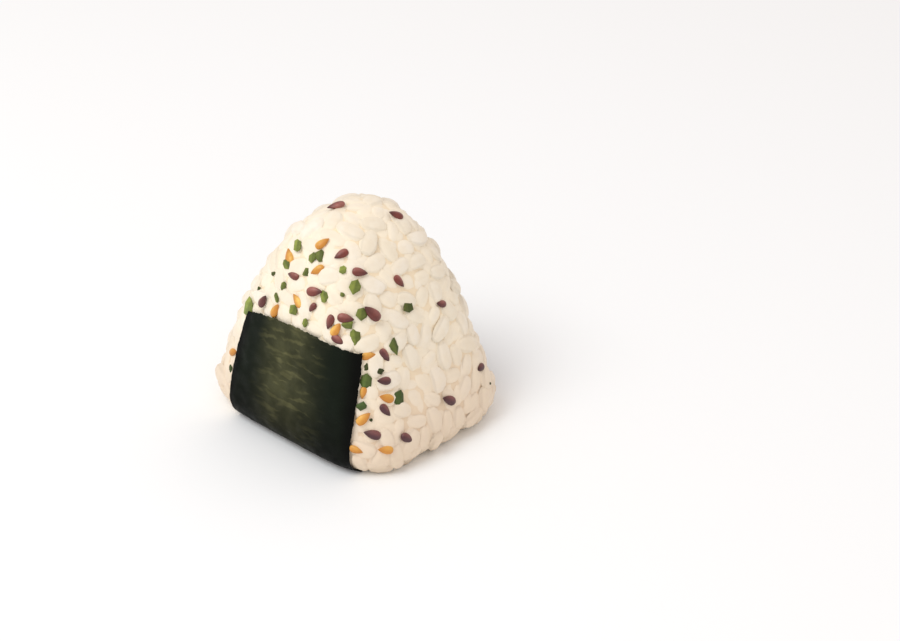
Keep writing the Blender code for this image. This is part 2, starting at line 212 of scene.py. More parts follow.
# The rest of the sprinkling, out of the photo's sight, follows the rule of the solids
SPRINKLE_SEED = 20
SPRINKLE_TRIES = 5200
TRIES_EVEN_AT = 38.0 * MM
SPRINKLE_SPACING = 3.3 * MM
SPRINKLE_LOW = 3.0 * MM
SPRINKLE_HIGH = 59.0 * MM
SPRINKLE_FADE = 8.0 * MM
SPRINKLE_UNDER_NORI = 1.0 * MM
SPRINKLE_AIM = (0.5, -0.866, 0.0)
SPRINKLE_AIMED = (0.6, 0.8)
THICK_ON_FACES = 0.40
THIN_ELSEWHERE = 0.011
DARK_SHARE = 0.36
GOLD_SHARE = 0.24
DARK_SHARE_ELSEWHERE = 0.8
SPRINKLE_SIZE = (0.85, 1.15)
OUT_OF_SIGHT = -0.3

# Light and floor
KEY_PLACE = (-0.11, -0.66, 1.0)
KEY_AIM = (0.0, 0.0, 0.03)
KEY_SIZE = 0.7
KEY_POWER = 5.95
KEY_TINT = (0.97, 1.0, 1.02)
SURROUND_COLOUR = (1.0, 0.915, 0.885, 1.0)
SURROUND_STRENGTH = 0.78
FLOOR_COLOUR = (0.95, 0.985, 0.995, 1.0)
FLOOR_HALF = 3.0


def planes():
    """Outward normals and reaches of the six planes, as seen from the inner centre."""
    side = (math.cos(SIDE_TILT), math.sin(SIDE_TILT))
    face = (math.cos(FACE_TILT), math.sin(FACE_TILT))
    normals = np.array([
        (side[0], 0, side[1]),
        (-side[0], 0, side[1]),
        (0, -face[0], face[1]),
        (0, face[0], face[1]),
        (0, 0, 1),
        (0, 0, -1),
    ])
    reaches = np.array([SIDE_REACH, SIDE_REACH, FACE_REACH, FACE_REACH, TOP_REACH, BOTTOM_REACH])
    return normals, reaches


def form_value(points):
    """Sum over the planes of (distance along the normal / reach) to the power ROUNDNESS. It is 1 on
    the form."""
    normals, reaches = planes()
    return (np.maximum(points @ normals.T / reaches, 0) ** ROUNDNESS).sum(axis=-1)


def form_radius(directions):
    """Distance from the inner centre to the form along each unit direction, before the base is cut
    flat, with the flatter shoulder taken off."""
    radius = form_value(directions) ** (-1 / ROUNDNESS)
    away = np.linalg.norm(directions * radius[:, None] + CENTRE - DENT_PLACE, axis=1)
    return radius - DENT_DEPTH * np.exp(-(away / DENT_SPREAD) ** 2)


def unit(vectors):
    """The same directions with a length of 1."""
    return vectors / np.linalg.norm(vectors, axis=-1, keepdims=True)


def form_normal(points):
    """Gradient of form_value, made a unit vector."""
    normals, reaches = planes()
    steepness = np.maximum(points @ normals.T / reaches, 0) ** (ROUNDNESS - 1) / reaches
    return unit(steepness @ normals)


def on_form(directions, rise=0.0):
    """Points at a height of rise over the form along each direction, cut flat at the base, with the
    centre at 0."""
    points = directions * form_radius(directions)[:, None]
    slant = (form_normal(points) * directions).sum(axis=1)
    radius = np.linalg.norm(points, axis=1) + rise / slant
    downward = np.maximum(-directions[:, 2], 1e-6)
    radius = np.minimum(radius, CENTRE_HEIGHT / downward)
    return directions * radius[:, None]


def skin_normal(points):
    """Outward normal of the rice at points from on_form: straight down on the flat base."""
    base = points[:, 2:] < -CENTRE_HEIGHT + 0.01 * MM
    return np.where(base, (0.0, 0.0, -1.0), form_normal(points))


def rise_over_form(points):
    """Height of each point over the form, across its skin, negative inside."""
    directions = unit(points)
    radius = form_radius(directions)
    slant = (form_normal(directions * radius[:, None]) * directions).sum(axis=1)
    return (np.linalg.norm(points, axis=1) - radius) * slant


def tangents(normals, spin):
    """Two unit vectors across each normal, the first turned by spin about it."""
    helper = np.where(np.abs(normals[:, 2:]) < 0.8, (0.0, 0.0, 1.0), (1.0, 0.0, 0.0))
    level = unit(np.cross(helper, normals))
    upright = np.cross(normals, level)
    along = level * np.cos(spin)[:, None] + upright * np.sin(spin)[:, None]
    return along, np.cross(normals, along)


def smooth(share):
    """Eases 0 to 1 with a flat start and a flat end."""
    share = np.clip(share, 0, 1)
    return share * share * (3 - 2 * share)


def nori_shift(y):
    """How far the strip, laid a little askew, has moved sideways: eased from 0 at the front to
    NORI_BACK_SHIFT at the back."""
    onward = np.clip(y / NORI_SHIFT_REACH, -1, 1)
    return NORI_BACK_SHIFT * (0.5 + 0.75 * onward - 0.25 * onward**3)


def nori_sides(height, y):
    """Left and right edge of the strip at a height and depth. They draw in towards the top by the
    share of the height to the power NORI_FLARE."""
    share = np.clip(height / NORI_HEIGHT, 0, 1) ** NORI_FLARE
    left = NORI_LEFT_FOOT + (NORI_LEFT_TOP - NORI_LEFT_FOOT) * share
    right = NORI_RIGHT_FOOT + (NORI_RIGHT_TOP - NORI_RIGHT_FOOT) * share
    return left + nori_shift(y), right + nori_shift(y)


def nori_top(x, y):
    """Height of the strip's top edge. A straight cut on a form that leans back arches up in the
    middle, as NORI_ARCH times 1 less the square of the way out to a corner."""
    middle = (NORI_LEFT_TOP + NORI_RIGHT_TOP) / 2 + nori_shift(y)
    out = np.clip((x - middle) / (NORI_RIGHT_TOP - NORI_LEFT_TOP) * 2, -1, 1)
    return NORI_HEIGHT + NORI_ARCH * (1 - out**2)


def outside_nori(points):
    """Distance outside the strip's outline, negative under the strip, for points from the centre."""
    x, y, height = points[..., 0], points[..., 1], points[..., 2] + CENTRE_HEIGHT
    left, right = nori_sides(height, y)
    return np.maximum.reduce([left - x, x - right, height - nori_top(x, y)])


def press(points):
    """Pushes what the strip covers down under it, and what stands on the base up to the floor.
    The height that a point may keep grows smoothly from PRESS_RISE under the strip to FREE_RISE."""
    share = smooth(outside_nori(points) / PRESS_MARGIN)
    most = PRESS_RISE + (FREE_RISE - PRESS_RISE) * share
    excess = np.maximum(rise_over_form(points) - most, 0)
    points = points - unit(points) * excess[:, None]
    lowest = (NORI_OFF_FLOOR + 2 * NORI_THICKNESS) * (1 - share) - CENTRE_HEIGHT
    points[:, 2] = np.maximum(points[:, 2], lowest)
    return points


def spindle_faces(count, rings, sides):
    """Faces of count closed shapes, each a pole, some rings of points and a pole, outward."""
    size = rings * sides + 2
    start = (np.arange(count) * size)[:, None, None]
    ring = 1 + np.arange(rings)[:, None] * sides
    side = np.arange(sides)[None]
    beside = (side + 1) % sides
    low, high = ring[:-1], ring[1:]
    quads = np.stack([low + side, low + beside, high + beside, high + side], axis=-1)
    first = np.stack([0 * side, 1 + beside, 1 + side], axis=-1)
    last = np.stack([0 * side + size - 1, ring[-1] + side, ring[-1] + beside], axis=-1)
    caps = np.concatenate([first, last], axis=1)
    quads = (quads.reshape(1, -1, 4) + start).reshape(-1, 4)
    caps = (caps.reshape(1, -1, 3) + start).reshape(-1, 3)
    return quads.tolist() + caps.tolist()


def new_piece(name, points, faces, finish, sharp=None):
    """A mesh object at the origin, from points round the inner centre, smooth, with one finish."""
    mesh = bpy.data.meshes.new(name)
    mesh.from_pydata((points.reshape(-1, 3) + CENTRE).tolist(), [], faces)
    mesh.shade_smooth()
    if sharp:
        mesh.set_sharp_from_angle(angle=sharp)
    mesh.materials.append(finish)
    piece = bpy.data.objects.new(name, mesh)
    bpy.context.scene.collection.objects.link(piece)
    return piece


def give_values(piece, name, values):
    """Stores one number for each point of the piece, for its finish to read."""
    attribute = piece.data.attributes.new(name, "FLOAT", "POINT")
    attribute.data.foreach_set("value", np.ascontiguousarray(values, dtype=np.float32).ravel())


def soften(piece, points):
    """Turns the piece's shading part of the way to that of the smooth form, as light that wanders
    inside the grains does. Its shape and outline stay as they are."""
    own = np.empty(len(points) * 3, dtype=np.float32)
    piece.data.vertex_normals.foreach_get("vector", own)
    blend = own.reshape(-1, 3) * (1 - SOFTNESS) + skin_normal(points) * SOFTNESS
    piece.data.normals_split_custom_set_from_vertices(unit(blend).tolist())


def thin_out(points, spacing):
    """Numbers of the points that stay when each, in turn, stays only if no kept one is nearer than
    spacing."""
    kept = []
    for index in range(len(points)):
        if (np.linalg.norm(points[kept] - points[index], axis=1) > spacing).all():
            kept.append(index)
    return kept


def throw_evenly(tries, spacing, rng):
    """Points on the form, thrown with an even chance for equal areas, none nearer than spacing."""
    directions = unit(rng.normal(size=(tries, 3)))
    points = on_form(directions)
    area = (points**2).sum(axis=1) / (skin_normal(points) * directions).sum(axis=1)
    points = points[rng.uniform(size=tries) < area / area.max()]
    return points[thin_out(points, spacing)]


def even_out(points):
    """Near neighbours push each other away over the form until they lie evenly."""
    for _ in range(LAYOUT_ROUNDS):
        apart = points[:, None] - points[None]
        distance = np.linalg.norm(apart, axis=2) + np.eye(len(points))
        push = np.maximum(1 - distance / PUSH_REACH, 0) ** 2 / distance
        points = on_form(unit(points + PUSH_STEP * (apart * push[:, :, None]).sum(axis=1)))
    return points


def settle(points, spin, length, width):
    """Packs grains closely. Each counts as three beads in a row. Where beads of two grains overlap,
    the grains slide apart over the form and turn about their middles."""
    reach = (length - width) / 2
    for _ in range(SETTLE_ROUNDS):
        normals = skin_normal(points)
        along, _ = tangents(normals, spin)
        arm = along[:, None] * (reach[:, None] * np.array((-1.0, 0.0, 1.0)))[:, :, None]
        beads = points[:, None] + arm
        distance = np.linalg.norm(points[:, None] - points[None], axis=2)
        near = np.argsort(distance, axis=1)[:, 1:NEIGHBOURS + 1]
        apart = beads[:, None, :, None] - beads[near][:, :, None]
        distance = np.linalg.norm(apart, axis=-1)
        wanted = (width[:, None] + width[near]) / 2 * BEAD_TIGHTNESS
        overlap = np.maximum(wanted[:, :, None, None] - distance, 0)
        push = (apart * (overlap / distance)[..., None]).sum(axis=(1, 3))
        turn = (np.cross(arm, push) * normals[:, None]).sum(axis=(1, 2))
        spin = spin + SETTLE_TURN * turn / (reach**2 + width**2 / 4)
        points = on_form(unit(points + SETTLE_STEP * push.sum(axis=1)))
    return points, spin


def grain_shapes(points, spin, length, width, crest, rng):
    """Points of all grains at once. Along a grain, x goes from -1 to 1 evenly by angle, and the
    girth is (1 - x squared) to the power GRAIN_ROUNDNESS, fuller at one end. The grain bends a
    little, is flatter than wide, leans a little, and its crest stands at crest over the form."""
    count = len(points)
    step = np.linspace(0, np.pi, GRAIN_RINGS + 2)[1:-1]
    place = -np.cos(step)
    girth = (1 - place**2) ** GRAIN_ROUNDNESS
    turn = np.arange(GRAIN_SIDES) * 2 * np.pi / GRAIN_SIDES
    x = np.repeat(place, GRAIN_SIDES)
    y = np.outer(girth, np.cos(turn)).ravel()
    z = np.outer(girth, np.sin(turn)).ravel()
    x = np.concatenate([[-1], x, [1]])
    y = np.concatenate([[0], y, [0]])
    z = np.concatenate([[0], z, [0]])
    lean = rng.uniform(-GRAIN_LEAN, GRAIN_LEAN, count)[:, None]
    bend = rng.uniform(-GRAIN_BEND, GRAIN_BEND, count)[:, None]
    flat = GRAIN_THICKNESS * rng.uniform(0.9, 1.1, count)[:, None]
    fuller = 1 + lean * x
    local_x = x * length[:, None] / 2
    local_y = y * fuller * width[:, None] / 2 + bend * (x**2 - 0.4) * width[:, None]
    local_z = z * fuller * flat * width[:, None] / 2
    tilt = rng.uniform(-GRAIN_TILT, GRAIN_TILT, count)[:, None]
    local_x, local_z = (
        local_x * np.cos(tilt) - local_z * np.sin(tilt),
        local_x * np.sin(tilt) + local_z * np.cos(tilt),
    )
    normals = skin_normal(points)
    along, across = tangents(normals, spin)
    middle = points + normals * (crest - flat[:, 0] * width / 2)[:, None]
    local = np.stack([local_x, local_y, local_z], axis=-1)
    axes = np.stack([along, across, normals], axis=1)
    return middle[:, None] + local @ axes


def make_grains(finish):
    """The outer layer of grains, packed closely, over a second layer that fills its gaps."""
    rng = np.random.default_rng(LAYOUT_SEED)
    outer = even_out(throw_evenly(GRAIN_TRIES, GRAIN_SPACING, rng))
    count = len(outer)
    length = rng.uniform(*GRAIN_LENGTH, count)
    width = rng.uniform(*GRAIN_WIDTH, count)
    outer, spin = settle(outer, rng.uniform(0, math.pi, count), length, width)
    bare = outside_nori(outer) > -TUCKED_UNDER_NORI
    crest = rng.uniform(*GRAIN_CREST, count)
    high = thin_out(outer, HIGH_SPACING)
    crest[high] = rng.uniform(*HIGH_CREST, len(high))
    shapes = [grain_shapes(outer[bare], spin[bare], length[bare], width[bare], crest[bare], rng)]
    rng = np.random.default_rng(UNDER_SEED)
    under = throw_evenly(GRAIN_TRIES, UNDER_SPACING, rng)
    under = under[outside_nori(under) > -UNDER_TUCKED]
    count = len(under)
    spin = rng.uniform(0, math.pi, count)
    length = rng.uniform(*GRAIN_LENGTH, count)
    width = rng.uniform(*GRAIN_WIDTH, count)
    shapes.append(grain_shapes(under, spin, length, width, rng.uniform(*UNDER_CREST, count), rng))
    points = np.concatenate(shapes)
    count, size = points.shape[:2]
    points = press(points.reshape(-1, 3))
    faces = spindle_faces(count, GRAIN_RINGS, GRAIN_SIDES)
    piece = new_piece("rice_grains", points, faces, finish)
    give_values(piece, "rise", rise_over_form(points) / MM)
    give_values(piece, "tone", np.repeat(rng.uniform(size=count), size))
    soften(piece, points)
    return piece, outer


def make_core(finish):
    """The inside of the rice: rings of points from the base's middle to the crown, each where its
    direction meets the form sunk by CORE_RISE. Under the strip it is pressed up against it."""
    tilt = np.linspace(-np.pi / 2, np.pi / 2, CORE_RINGS + 2)[1:-1]
    turn = np.arange(CORE_SIDES) * 2 * np.pi / CORE_SIDES
    tilt, turn = np.meshgrid(tilt, turn, indexing="ij")
    rings = np.stack([np.cos(tilt) * np.cos(turn), np.cos(tilt) * np.sin(turn), np.sin(tilt)], axis=-1)
    directions = np.concatenate([[(0, 0, -1)], rings.reshape(-1, 3), [(0, 0, 1)]]).astype(float)
    covered = smooth(-outside_nori(on_form(directions)) / PRESS_MARGIN)
    points = on_form(directions, CORE_RISE + (PRESS_RISE - CORE_RISE) * covered)
    piece = new_piece("rice_core", press(points), spindle_faces(1, CORE_RINGS, CORE_SIDES), finish)
    give_values(piece, "rise", rise_over_form(points) / MM)
    give_values(piece, "tone", np.full(len(points), 0.5))
    return piece


def distance_to_form(point_at, far):
    """The distance at which point_at(distance) leaves the form, by halving between 0 and far."""
    low, high = np.zeros_like(far), far
    for _ in range(HALVINGS):
        middle = (low + high) / 2
        inside = form_value(point_at(middle)) < 1
        low = np.where(inside, middle, low)
        high = np.where(inside, high, middle)
    return low


def slice_radius(x, turn):
    """Distance from the X axis through the centre to the form, in the slice at x."""
    def point_at(radius):
        return np.stack([x, -radius * np.cos(turn), -radius * np.sin(turn)], axis=-1)
    return distance_to_form(point_at, np.full_like(x, SLICE_FAR))


def face_depth(x, z):
    """Distance from the middle plane to the form's front at x and z."""
    def point_at(depth):
        return np.stack([x, -depth, z], axis=-1)
    return distance_to_form(point_at, np.full_like(x, FACE_FAR))


def ragged(along, rng):
    """A torn edge: waves of ever shorter pitch and less height, with seeded phases, about -1 to 1."""
    pitch = np.array((17.0, 7.3, 3.1, 1.7, 0.9)) * MM
    height = np.array((0.25, 0.3, 0.35, 0.3, 0.2))
    phase = rng.uniform(0, 2 * np.pi, len(pitch))
    return (height * np.sin(along[..., None] * 2 * np.pi / pitch + phase)).sum(axis=-1)


def nori_face(rise, floor, grains):
    """One face of the strip. Rows run round the form from the front's top edge, under the base and
    up to the back's top edge, columns from its left to its right edge. Edges are a little ragged,
    and the grains underneath lift the sheet in low round lumps."""
    rng = np.random.default_rng(NORI_SEED)
    rows = np.linspace(0, 1, NORI_ROWS + 1)[:, None]
    columns = np.linspace(0, 1, NORI_COLUMNS + 1)[None]
    ends = []
    for y in (-NORI_SHIFT_REACH, NORI_SHIFT_REACH):
        left, right = nori_sides(NORI_HEIGHT, y)
        x = left + (right - left) * columns
        top = nori_top(x, y) - CENTRE_HEIGHT + NORI_RAGGED_TOP * ragged(x, rng)
        ends.append(np.arctan2(-top, face_depth(x, top)))
    turn = ends[0] + (math.pi - ends[1] - ends[0]) * rows
    torn = [NORI_RAGGED_SIDE * ragged(rows * NORI_ROUND, rng) for _ in range(2)]
    x = np.broadcast_to(x, turn.shape)
    for _ in range(EDGE_ROUNDS):
        radius = slice_radius(x, turn)
        height = np.maximum(CENTRE_HEIGHT - radius * np.sin(turn), 0)
        left, right = nori_sides(height, -radius * np.cos(turn))
        left, right = left + torn[0], right + torn[1]
        x = left + (right - left) * columns
    radius = slice_radius(x, turn)
    points = np.stack([x, -radius * np.cos(turn), -radius * np.sin(turn)], axis=-1)
    distance = np.linalg.norm(points[:, :, None] - grains, axis=-1)
    lumps = np.exp(-(distance / LUMP_SPREAD) ** 2).max(axis=-1) - LUMP_MEAN
    points = points + form_normal(points) * (rise + NORI_LUMP * lumps)[..., None]
    lowest = floor - CENTRE_HEIGHT
    pull = np.where(points[..., 2] < lowest, lowest / np.minimum(points[..., 2], lowest), 1.0)
    points[..., 1] *= pull
    points[..., 2] = np.maximum(points[..., 2], lowest)
    return points


def make_nori(finish, grains):
    """The strip as a closed thin shell: an outer face, an inner face and a rim between them."""
    covered = grains[outside_nori(grains) < LUMPS_FROM]
    outer = nori_face(NORI_OUTER_RISE, NORI_OFF_FLOOR, covered)
    inner = nori_face(NORI_OUTER_RISE - NORI_THICKNESS, NORI_OFF_FLOOR + NORI_THICKNESS, covered)
    rows, columns = outer.shape[:2]
    count = rows * columns
    index = np.arange(count).reshape(rows, columns)
    corners = (index[:-1, :-1], index[1:, :-1], index[1:, 1:], index[:-1, 1:])
    outward = np.stack([corner.ravel() for corner in corners], axis=1)
    rim = np.concatenate([index[:-1, 0], index[-1, :-1], index[:0:-1, -1], index[0, :0:-1]])
    onward = np.roll(rim, -1)
    edge = np.stack([onward, rim, rim + count, onward + count], axis=1)
    faces = np.concatenate([outward, outward[:, ::-1] + count, edge]).tolist()
    points = np.concatenate([outer.reshape(-1, 3), inner.reshape(-1, 3)])
    piece = new_piece("nori_strip", points, faces, finish, sharp=NORI_RIM_SHARP)
    across = np.broadcast_to(np.linspace(0, 1, columns)[None], (rows, columns)).ravel()
    steps = np.linalg.norm(np.diff(outer[:, columns // 2], axis=0), axis=1)
    length = np.concatenate([[0], np.cumsum(steps)]) / MM
    along = np.broadcast_to(length[:, None], (rows, columns)).ravel()
    give_values(piece, "across", np.tile(across, 2))
    give_values(piece, "along", np.tile(along, 2))
    return piece


def camera_axes():
    """The camera's right, up and forward directions."""
    turn, rise = CAMERA_TURN, CAMERA_RISE
    right = np.array((math.cos(turn), math.sin(turn), 0))
    level = np.array((-math.sin(turn), math.cos(turn), 0))
    forward = level * math.cos(rise) - np.array((0, 0, math.sin(rise)))
    return right, np.cross(right, forward), forward


def camera_place():
    """Back from the point it aims at, which stands to the right of the base's middle and above it."""
    right, up, forward = camera_axes()
    return AIM_RIGHT * right + AIM_UP * up - CAMERA_DISTANCE * forward


def seen_directions(pixels, tree):
    """Where the lines of sight through the photo's pixels meet the rice, as directions from the
    centre."""
    right, up, forward = camera_axes()
    focal = CAMERA_LENS / SENSOR_WIDTH * PHOTO_WIDTH
    place = camera_place()
    directions = []
    for across, down in pixels:
        sight = forward + right * (across - PHOTO_WIDTH / 2) / focal
        sight = sight - up * (down - PHOTO_HEIGHT / 2) / focal
        hit = tree.ray_cast(Vector(place), Vector(unit(sight)))[0]
        directions.append(np.array(hit) - CENTRE)
    return unit(np.array(directions))


def seen_spin(points, degrees):
    """Turns about the normals that make a seed aim, in the photo's view, at an angle from its right."""
    right, up, forward = camera_axes()
    normals = skin_normal(points)
    angle = np.radians(degrees)[:, None]
    aim = right * np.cos(angle) + up * np.sin(angle)
    facing = np.minimum(normals @ forward, -LEAST_FACING)
    along = unit(aim - forward * ((aim * normals).sum(axis=1) / facing)[:, None])
    level, upright = tangents(normals, np.zeros(len(points)))
    return np.arctan2((along * upright).sum(axis=1), (along * level).sum(axis=1))


def sprinkle_places(rng):
    """Throws darts at the form. One stays where the rule of thickness lets it and no other is near."""
    throws = unit(rng.normal(size=(SPRINKLE_TRIES, 3)))
    luck = rng.uniform(size=SPRINKLE_TRIES)
    points = on_form(throws)
    normals = form_normal(points)
    heights = points[:, 2] + CENTRE_HEIGHT
    least, full = SPRINKLE_AIMED
    broad = np.clip((np.abs(normals @ SPRINKLE_AIM) - least) / (full - least), 0, 1)
    band = np.clip((SPRINKLE_HIGH - heights) / SPRINKLE_FADE, 0, 1)
    thickness = THIN_ELSEWHERE + THICK_ON_FACES * broad * band
    area = form_radius(throws) ** 2 / np.maximum((normals * throws).sum(axis=1), 0.2)
    thickness = thickness * area / TRIES_EVEN_AT**2
    wanted = (luck < thickness) & (heights > SPRINKLE_LOW)
    wanted &= outside_nori(points) > -SPRINKLE_UNDER_NORI
    wanted = np.flatnonzero(wanted)
    kept = wanted[thin_out(points[wanted], SPRINKLE_SPACING)]
    return throws[kept], broad[kept] * band[kept] > 0.1


def sprinkle_out_of_sight():
    """Place, turn, size and kind of what the photo can't show: 0 dark seed, 1 golden seed, 2 flake."""
    rng = np.random.default_rng(SPRINKLE_SEED)
    directions, on_face = sprinkle_places(rng)
    count = len(directions)
    spin = rng.uniform(0, 2 * math.pi, count)
    size = rng.uniform(*SPRINKLE_SIZE, count)
    luck = rng.uniform(size=count)
    dark = luck < np.where(on_face, DARK_SHARE, DARK_SHARE_ELSEWHERE)
    gold = on_face & ~dark & (luck < DARK_SHARE + GOLD_SHARE)
    kind = np.where(dark, 0, np.where(gold, 1, 2))
    normals = form_normal(on_form(directions))
    forward = camera_axes()[2]
    hidden = normals @ -forward < OUT_OF_SIGHT
    return directions[hidden], spin[hidden], size[hidden], kind[hidden]


def lie_on(tree, directions, spin, half_length, half_width):
    """Lays each small thing on the rice under it: four lines down through its ends and sides find
    the rice, and its axes follow them. Gives the highest middle that they allow and the three axes."""
    points = on_form(directions)
    normals = skin_normal(points)
    along, across = tangents(normals, spin)
    found = []
    for reach in (along * half_length[:, None], along * -half_length[:, None],
                  across * half_width[:, None], across * -half_width[:, None], along * 0):
        probes = points + PROBE_SHARE * reach
        hits = [
            tree.ray_cast(Vector(probe + normal * PROBE_HEIGHT + CENTRE), Vector(-normal))[0]
            for probe, normal in zip(probes, normals)
        ]
        found.append([
            np.array(hit) - CENTRE if hit else probe for hit, probe in zip(hits, probes)
        ])
    ahead, behind, left, right, middle = np.array(found)
    along = unit(along + LIE_CLOSELY * unit(ahead - behind))
    normal = unit(normals + LIE_CLOSELY * unit(np.cross(along, left - right)))
    across = unit(np.cross(normal, along))
    along = np.cross(across, normal)
    between = (((ahead + behind) / 2 - points) * normals).sum(axis=1)
    height = np.maximum(between, ((middle - points) * normals).sum(axis=1))
    return points + normals * height[:, None], np.stack([along, across, normal], axis=1)


def seed_shapes(tree, directions, spin, size):
    """Points of all seeds at once. From the blunt end, t = 0, to the point, t = 1, the half width
    goes as t to the power SEED_BLUNTNESS times (1 - t) to the power SEED_TAPER, and the seed is
    flatter than wide. Also gives t of each point, and its place across the seed, from -1 to 1 at
    the side that lies uppermost."""
    step = (1 - np.cos(np.linspace(0, np.pi, SEED_RINGS + 2)[1:-1])) / 2
    girth = step**SEED_BLUNTNESS * (1 - step) ** SEED_TAPER
    girth = girth / girth.max() / 2
    turn = np.arange(SEED_SIDES) * 2 * np.pi / SEED_SIDES
    x = np.concatenate([[0], np.repeat(step, SEED_SIDES), [1]]) - SEED_MIDDLE
    y = np.concatenate([[0], np.outer(girth, np.cos(turn)).ravel(), [0]])
    z = np.concatenate([[0], np.outer(girth, np.sin(turn)).ravel(), [0]])
    middle, axes = lie_on(tree, directions, spin, SEED_LENGTH * size / 2, SEED_WIDTH * size / 2)
    middle = middle + axes[:, 2] * (SEED_THICKNESS * size * (0.5 - SEED_SUNK))[:, None]
    local = np.stack([x * SEED_LENGTH, y * SEED_WIDTH, z * SEED_THICKNESS], axis=-1)
    points = middle[:, None] + (local * size[:, None, None]) @ axes
    upward = np.sign(axes[:, 1, 2])
    return points, np.tile(x + SEED_MIDDLE, (len(size), 1)), upward[:, None] * y * 2


def make_seeds(name, finish, tree, seen, rest, rng):
    """One kind of seed: those that the photo shows, and the rest."""
    seen = np.array(seen, dtype=float)
    directions = seen_directions(seen[:, :2], tree)
    spin = seen_spin(on_form(directions), seen[:, 2])
    directions = np.concatenate([directions, rest[0]])
    spin = np.concatenate([spin, rest[1]])
    size = np.concatenate([seen[:, 3], rest[2]])
    points, lengthwise, side = seed_shapes(tree, directions, spin, size)
    count, corners = points.shape[:2]
    faces = spindle_faces(count, SEED_RINGS, SEED_SIDES)
    piece = new_piece(name, press(points.reshape(-1, 3)), faces, finish)
    give_values(piece, "tone", np.repeat(rng.uniform(size=count), corners))
    give_values(piece, "point", lengthwise)
    give_values(piece, "side", side)
    return piece


def make_flakes(finish, tree, rest, rng):
    """Chopped leaf: chips with six uneven corners, thin, folded a little along their middle line."""
    seen = np.array(FLAKES_SEEN)
    directions = seen_directions(seen[:, :2], tree)
    spin = seen_spin(on_form(directions), seen[:, 2])
    count = len(rest[0])
    small = rng.uniform(size=count) < SMALL_FLAKES
    length = rng.uniform(*LOOSE_FLAKE_LENGTH, count) * np.where(small, SMALL_FLAKE_SIZE, 1.0)
    width = length * rng.uniform(*LOOSE_FLAKE_SLIMNESS, count)
    pale = np.where(small, SMALL_FLAKE_PALENESS, rng.uniform(*LOOSE_FLAKE_PALENESS, count))
    length = np.concatenate([seen[:, 3], length]) * MM
    width = np.concatenate([seen[:, 4], width]) * MM
    pale = np.concatenate([seen[:, 5], pale])
    directions = np.concatenate([directions, rest[0]])
    spin = np.concatenate([spin, rest[1]])
    count = len(directions)
    corner = np.arange(FLAKE_CORNERS) * 2 * np.pi / FLAKE_CORNERS
    corner = corner + rng.uniform(-FLAKE_CORNER_TURN, FLAKE_CORNER_TURN, (count, FLAKE_CORNERS))
    reach = rng.uniform(*FLAKE_CORNER_REACH, (count, FLAKE_CORNERS))
    outline = np.stack([np.cos(corner), np.sin(corner)], axis=-1) * reach[:, :, None] / 2
    outline = outline * np.stack([length, width], axis=1)[:, None]
    fold = rng.uniform(*FLAKE_FOLD, count)[:, None]
    thickness = FLAKE_THICKNESS * np.clip(length / (3 * MM), 0.6, 1.1)[:, None]
    rings = []
    for share, level in ((0.94, -0.5), (1.0, 0.1), (0.7, 0.5)):
        flat = outline * share
        rings.append(np.dstack([flat, level * thickness - fold * np.abs(flat[:, :, 1])]))
    pole = np.zeros((count, 1, 3))
    low, high = pole - (0, 0, 0.5), pole + (0, 0, 0.5)
    local = np.concatenate([low * thickness[:, :, None], *rings, high * thickness[:, :, None]], axis=1)
    middle, axes = lie_on(tree, directions, spin, length / 2, width / 2)
    middle = middle + axes[:, 2] * thickness * (0.5 - FLAKE_SUNK)
    points = middle[:, None] + local @ axes
    faces = spindle_faces(count, 3, FLAKE_CORNERS)
    points_laid = press(points.reshape(-1, 3))
    piece = new_piece("green_flakes", points_laid, faces, finish, sharp=FLAKE_FOLD_SHARP)
    give_values(piece, "pale", np.repeat(pale, points.shape[1]))
    give_values(piece, "side", local[:, :, 1] / width[:, None])
    return piece


def colour(red, green, blue):
    """A colour given from 0 to 255, turned into the shader's linear values."""
    share = np.array((red, green, blue)) / 255
    linear = np.where(share <= 0.04045, share / 12.92, ((share + 0.055) / 1.055) ** 2.4)
    return (*linear.tolist(), 1.0)


def add(tree, kind, inputs, **settings):
    """A new node with its settings. Each input is linked where a socket is given, and set otherwise."""
    made = tree.nodes.new(kind)
    for name, value in settings.items():
        setattr(made, name, value)
    for name, value in inputs.items():
        if isinstance(value, bpy.types.NodeSocket):
            tree.links.new(value, made.inputs[name])
        else:
            made.inputs[name].default_value = value
    return made


def mix(tree, share, first, second):
    """Colour between two colours by share."""
    inputs = {0: share, 6: first, 7: second}
    return add(tree, "ShaderNodeMix", inputs, data_type="RGBA").outputs[2]


def noise(tree, place, scale, detail, distortion=0.0):
    """Noise of a given scale and detail at a place, about 0.3 to 0.7."""
    inputs = {"Vector": place, "Scale": scale, "Detail": detail, "Distortion": distortion}
    return add(tree, "ShaderNodeTexNoise", inputs).outputs[0]


def eased(tree, value, start, end, low=0.0, high=1.0):
    """Value carried smoothly from the range start to end into low to high."""
    inputs = {"Value": value, "From Min": start, "From Max": end, "To Min": low, "To Max": high}
    return add(tree, "ShaderNodeMapRange", inputs, interpolation_type="SMOOTHSTEP").outputs["Result"]


def math_node(tree, operation, first, second):
    """One calculation with two values, such as MULTIPLY or MAXIMUM."""
    return add(tree, "ShaderNodeMath", {0: first, 1: second}, operation=operation).outputs[0]


def value_of(tree, name):
    """A number that the piece stores for each of its points."""
    return add(tree, "ShaderNodeAttribute", {}, attribute_name=name).outputs["Fac"]


